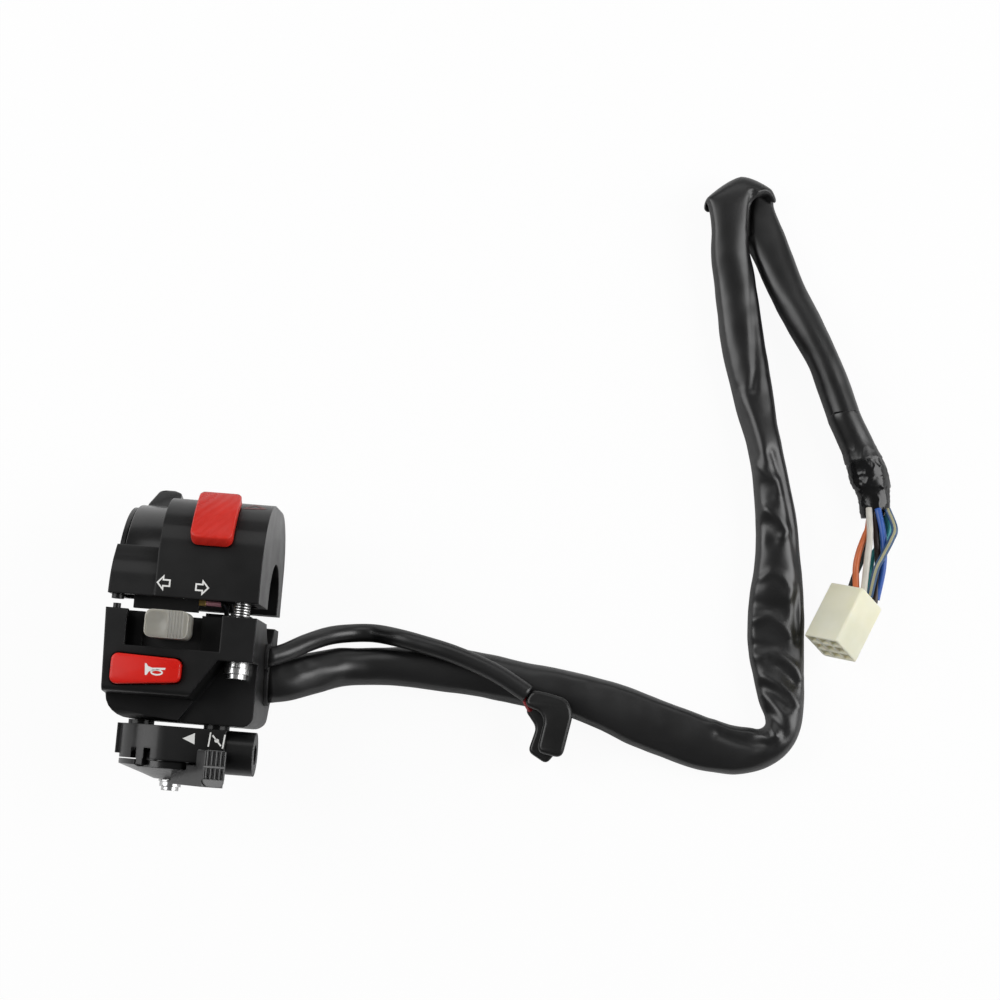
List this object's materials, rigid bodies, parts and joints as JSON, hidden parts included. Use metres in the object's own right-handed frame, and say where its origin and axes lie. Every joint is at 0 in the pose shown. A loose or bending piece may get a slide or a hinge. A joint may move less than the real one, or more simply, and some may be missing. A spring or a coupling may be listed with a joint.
{
  "type": "handlebar switch cluster",
  "caption": "Left handlebar switch cluster with red hazard slider, dimmer lever, turn-signal switch, red horn button, choke lever and a wiring harness ending in a plug.",
  "frame": {"origin": "on the bar axis at mid width of the housing", "axes": "+X along the bar away from the grip, +Y up across the bar, +Z toward the rider; the part lies on its far side"},
  "size_m": [0.2072, 0.1864, 0.0531],
  "materials": {
    "housing_black": "satin",
    "lever_black": "satin",
    "red_plastic": "gloss",
    "grey_knob": "satin",
    "steel": "bright zinc",
    "brass": "bright",
    "board_brown": "matte",
    "inner_black": "matte",
    "spring_steel": "bright",
    "sleeve_vinyl": "gloss vinyl",
    "tape_black": "gloss",
    "grommet_rubber": "matte",
    "wire_insulation": "satin",
    "plug_nylon": "satin"
  },
  "bodies": {
    "housing": {"upper_housing": "housing_black", "lower_housing": "housing_black", "clamp_screws": "steel", "clamp_washers": "steel", "hazard_contact_board": "board_brown", "dimmer_contact_board": "board_brown", "insulator_plate": "inner_black", "feed_terminal": "brass", "turn_contact_board": "board_brown", "horn_spring": "spring_steel", "horn_contact_board": "board_brown", "board_screws": "steel", "inner_wires": "wire_insulation", "cable_grommet": "grommet_rubber", "choke_holder": "housing_black", "choke_holder_screws": "steel", "choke_cable_guide": "housing_black", "choke_washer": "steel", "choke_pivot_screw": "steel", "harness_sleeve": "sleeve_vinyl", "tape_wrap": "tape_black", "plug_wires": "wire_insulation", "plug_housing": "plug_nylon", "plug_terminals": "brass", "clutch_lead": "sleeve_vinyl", "clutch_wires": "wire_insulation", "clutch_boots": "grommet_rubber", "clutch_terminals": "brass"},
    "hazard": {"hazard_knob": "red_plastic", "hazard_carriage": "inner_black", "hazard_contact_bridge": "brass"},
    "dimmer": {"dimmer_lever": "lever_black", "dimmer_contact": "brass"},
    "turn_carriage": {"turn_slider": "inner_black", "turn_contact_bridge": "brass", "turn_return_spring": "spring_steel"},
    "turn_button": {"turn_knob": "grey_knob"},
    "horn": {"horn_button": "red_plastic", "horn_contact_disc": "brass"},
    "choke": {"choke_lever": "lever_black"}
  },
  "joints": [
    {"name": "hazard_slide", "type": "slide", "parent": "housing", "child": "hazard", "axis": [1, 0, 0], "range_m": [0, 0.0045]},
    {"name": "dimmer_swing", "type": "hinge", "parent": "housing", "child": "dimmer", "pos_m": [-0.01375, 0, 0], "axis": [1, 0, 0], "range_deg": [-14, 0]},
    {"name": "turn_slide", "type": "slide", "parent": "housing", "child": "turn_carriage", "axis": [1, 0, 0], "range_m": [-0.0042, 0.0042]},
    {"name": "turn_press", "type": "slide", "parent": "turn_carriage", "child": "turn_button", "axis": [0, 0, -1], "range_m": [0, 0.0014], "stiffness_N_per_m": 300, "springref_m": -0.003, "deforming": ["turn_return_spring"]},
    {"name": "horn_press", "type": "slide", "parent": "housing", "child": "horn", "axis": [0, 0, -1], "range_m": [0, 0.002], "stiffness_N_per_m": 300, "springref_m": -0.003, "deforming": ["horn_spring"]},
    {"name": "choke_turn", "type": "hinge", "parent": "housing", "child": "choke", "pos_m": [-0.0022, -0.0443, 0.008], "axis": [0, 1, 0], "range_deg": [-60, 0]}
  ]
}
